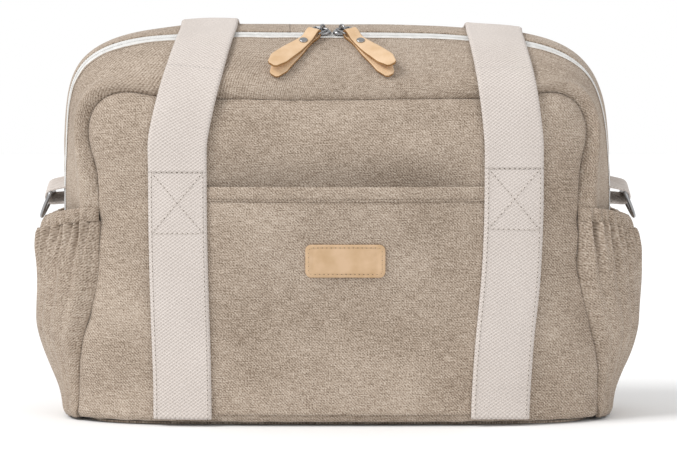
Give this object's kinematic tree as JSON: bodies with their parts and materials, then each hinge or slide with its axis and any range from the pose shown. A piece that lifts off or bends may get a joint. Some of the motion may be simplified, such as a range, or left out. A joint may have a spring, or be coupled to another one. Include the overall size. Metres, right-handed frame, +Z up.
{
  "type": "diaper bag",
  "caption": "Soft canvas diaper bag with a domed zipped top, webbing handles laid over it, a front slip pocket, elasticated side pockets and D-rings.",
  "frame": {"origin": "middle of the flat base, on the surface the bag stands on", "axes": "+X to the right seen from the front, front pocket towards -Y, +Z up"},
  "size_m": [0.4314, 0.1827, 0.2789],
  "materials": {
    "canvas": "mottled linen-look canvas",
    "lining": "plain woven lining",
    "board": "flat stiffener board",
    "webbing": "cream cotton webbing",
    "zip": "off-white coil zip",
    "leather": "natural vegetable-tanned leather",
    "metal": "brushed nickel"
  },
  "bodies": {
    "bag": {"base_panel": "canvas", "base_board": "board", "front_panel": "canvas", "back_panel": "canvas", "front_yoke": "canvas", "rear_yoke": "canvas", "side_panel_left": "canvas", "side_panel_right": "canvas", "lining": "lining", "zip_tape_front": "zip", "zip_coil_front": "zip", "zip_tape_rear_left": "zip", "zip_tape_rear_right": "zip", "zip_coil_rear_left": "zip", "zip_coil_rear_right": "zip", "front_pocket": "canvas", "front_pocket_hem": "canvas", "label_patch": "leather", "front_handle_leg_left": "webbing", "front_handle_leg_right": "webbing", "rear_handle_leg_left": "webbing", "rear_handle_leg_right": "webbing", "side_pocket_left": "canvas", "side_pocket_right": "canvas", "side_pocket_hem_left": "canvas", "side_pocket_hem_right": "canvas", "dring_tab_left": "webbing", "dring_tab_right": "webbing"},
    "mouth_lip": {"rear_lip": "canvas", "zip_tape_rear_mid": "zip", "zip_coil_rear_mid": "zip"},
    "left_slider": {"slider_left": "metal"},
    "right_slider": {"slider_right": "metal"},
    "left_pull": {"pull_ring_left": "metal", "pull_leather_left": "leather", "pull_rivet_left": "metal"},
    "right_pull": {"pull_ring_right": "metal", "pull_leather_right": "leather", "pull_rivet_right": "metal"},
    "front_handle_rise": {"front_handle_span_left": "webbing", "front_handle_span_right": "webbing"},
    "front_handle_bow": {"front_handle_loop": "webbing"},
    "rear_handle_bow": {"rear_handle_loop": "webbing"},
    "left_dring": {"dring_left": "metal"},
    "right_dring": {"dring_right": "metal"}
  },
  "joints": [
    {"name": "slider_left_slide", "type": "slide", "parent": "bag", "child": "left_slider", "axis": [-1, 0, 0], "range_m": [0, 0.024]},
    {"name": "slider_right_slide", "type": "slide", "parent": "bag", "child": "right_slider", "axis": [1, 0, 0], "range_m": [0, 0.044]},
    {"name": "mouth_open", "type": "hinge", "parent": "bag", "child": "mouth_lip", "pos_m": [0.004, 0.02495, 0.2714], "axis": [-1, 0, 0], "range_deg": [0, 24], "deforming": ["zip_tape_rear_mid", "zip_coil_rear_mid"]},
    {"name": "pull_left_lift", "type": "hinge", "parent": "left_slider", "child": "left_pull", "pos_m": [-0.0112, -0.02641, 0.27573], "axis": [-0.8473, 0.5071, 0.1581], "range_deg": [0, 70]},
    {"name": "pull_right_lift", "type": "hinge", "parent": "right_slider", "child": "right_pull", "pos_m": [0.0032, -0.02641, 0.27573], "axis": [-0.8473, -0.5071, -0.1581], "range_deg": [0, 70]},
    {"name": "front_handle_lift", "type": "hinge", "parent": "bag", "child": "front_handle_rise", "pos_m": [0, -0.086, 0.17725], "axis": [1, 0, 0], "range_deg": [0, 41]},
    {"name": "front_handle_unfold", "type": "hinge", "parent": "front_handle_rise", "child": "front_handle_bow", "pos_m": [0, 0.00025, 0.2791], "axis": [1, 0, 0], "range_deg": [0, 89]},
    {"name": "rear_handle_swing", "type": "hinge", "parent": "bag", "child": "rear_handle_bow", "pos_m": [0, 0.0863, 0.1978], "axis": [1, 0, 0], "range_deg": [0, 170]},
    {"name": "dring_left_swing", "type": "hinge", "parent": "bag", "child": "left_dring", "pos_m": [-0.2034, -0.014, 0.1595], "axis": [0, 1, 0], "range_deg": [0, 105]},
    {"name": "dring_right_swing", "type": "hinge", "parent": "bag", "child": "right_dring", "pos_m": [0.2034, -0.014, 0.1595], "axis": [0, -1, 0], "range_deg": [0, 105]}
  ],
  "couplings": [
    {"joint": "slider_right_slide", "follows": "slider_left_slide", "ratio": 1.8333},
    {"joint": "mouth_open", "follows": "slider_left_slide", "rad_per_m": 17.453},
    {"joint": "front_handle_unfold", "follows": "front_handle_lift", "ratio": 2.1707}
  ]
}
